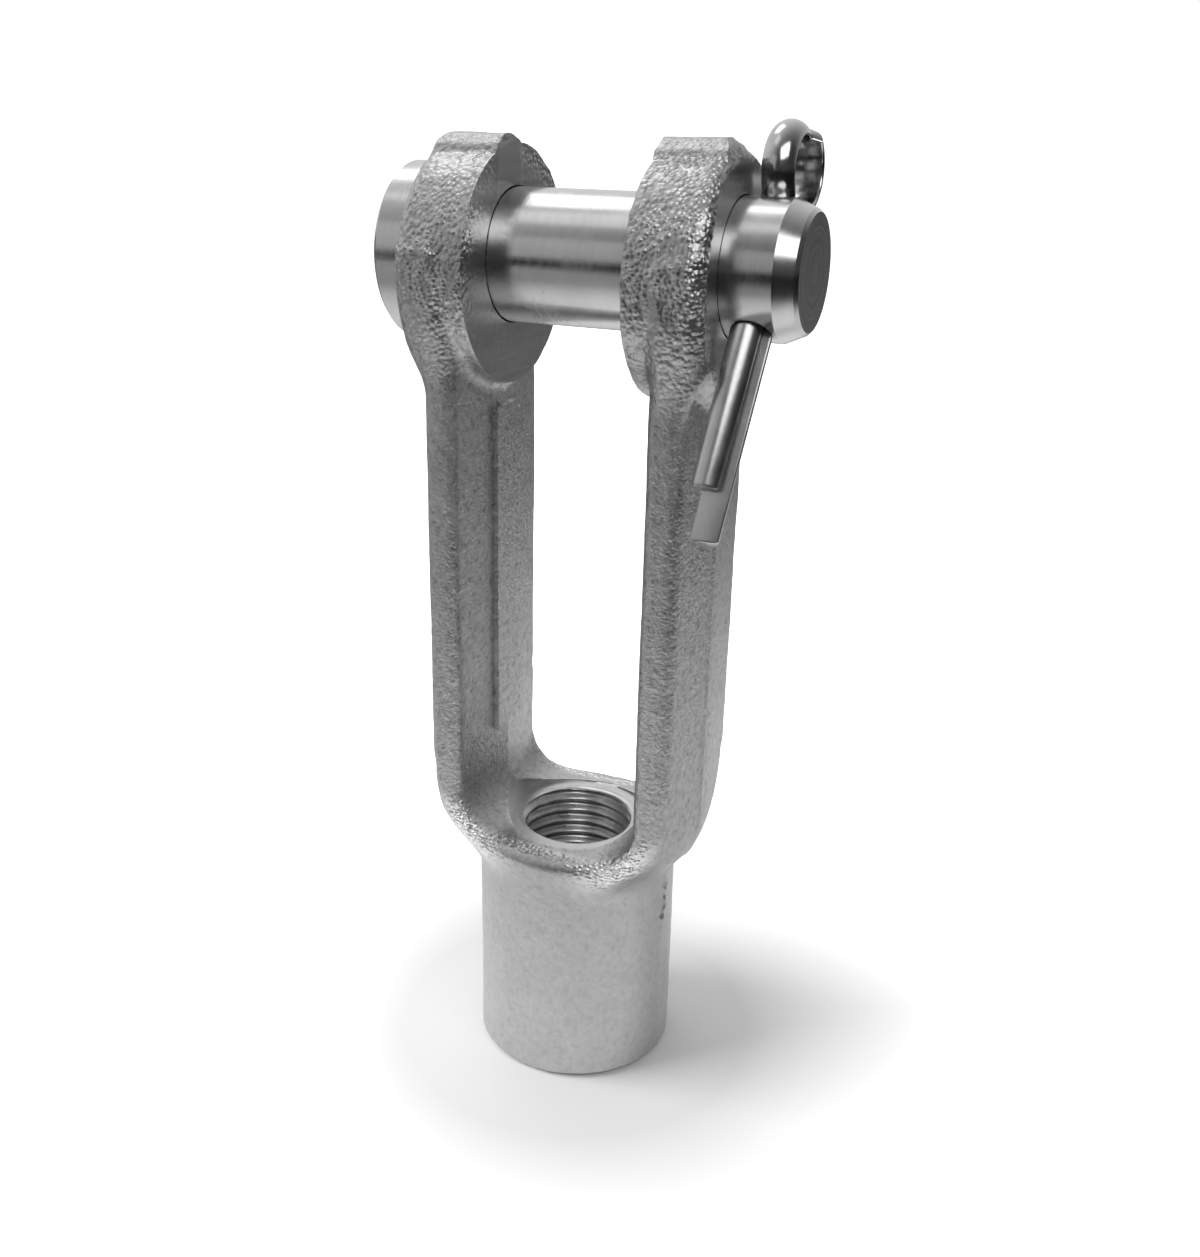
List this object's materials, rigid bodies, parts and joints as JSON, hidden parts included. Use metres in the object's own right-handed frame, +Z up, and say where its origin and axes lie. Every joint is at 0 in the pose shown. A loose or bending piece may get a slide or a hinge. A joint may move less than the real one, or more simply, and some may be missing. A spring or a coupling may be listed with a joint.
{
  "type": "female clevis",
  "caption": "Forged adjustable yoke end with threaded shank, two round ears, headed clevis pin and straight cotter pin.",
  "frame": {"origin": "on the thread axis, in the plane of the shank's flat end, which the object stands on", "axes": "+Z up the shank towards the ears, +X along the clevis pin from its head to its chamfered end, +Y to the back"},
  "size_m": [0.0303, 0.02, 0.0746],
  "materials": {
    "forged_steel": "drop-forged surface with small pits and grains under bright zinc plate",
    "turned_steel": "turned and zinc plated, fine turning marks, satin to bright",
    "cotter_wire": "drawn half-round wire, bright"
  },
  "bodies": {
    "yoke": {"yoke": "forged_steel"},
    "clevis_pin": {"clevis_pin": "turned_steel"},
    "cotter_pin": {"cotter_pin": "cotter_wire"}
  },
  "joints": [
    {"name": "pin_spin", "type": "hinge", "parent": "yoke", "child": "clevis_pin", "pos_m": [0, 0, 0.065], "axis": [1, 0, 0], "continuous": true},
    {"name": "cotter_pull", "type": "slide", "parent": "clevis_pin", "child": "cotter_pin", "axis": [0, 0.5934, 0.8049], "range_m": [0, 0.0247]}
  ]
}
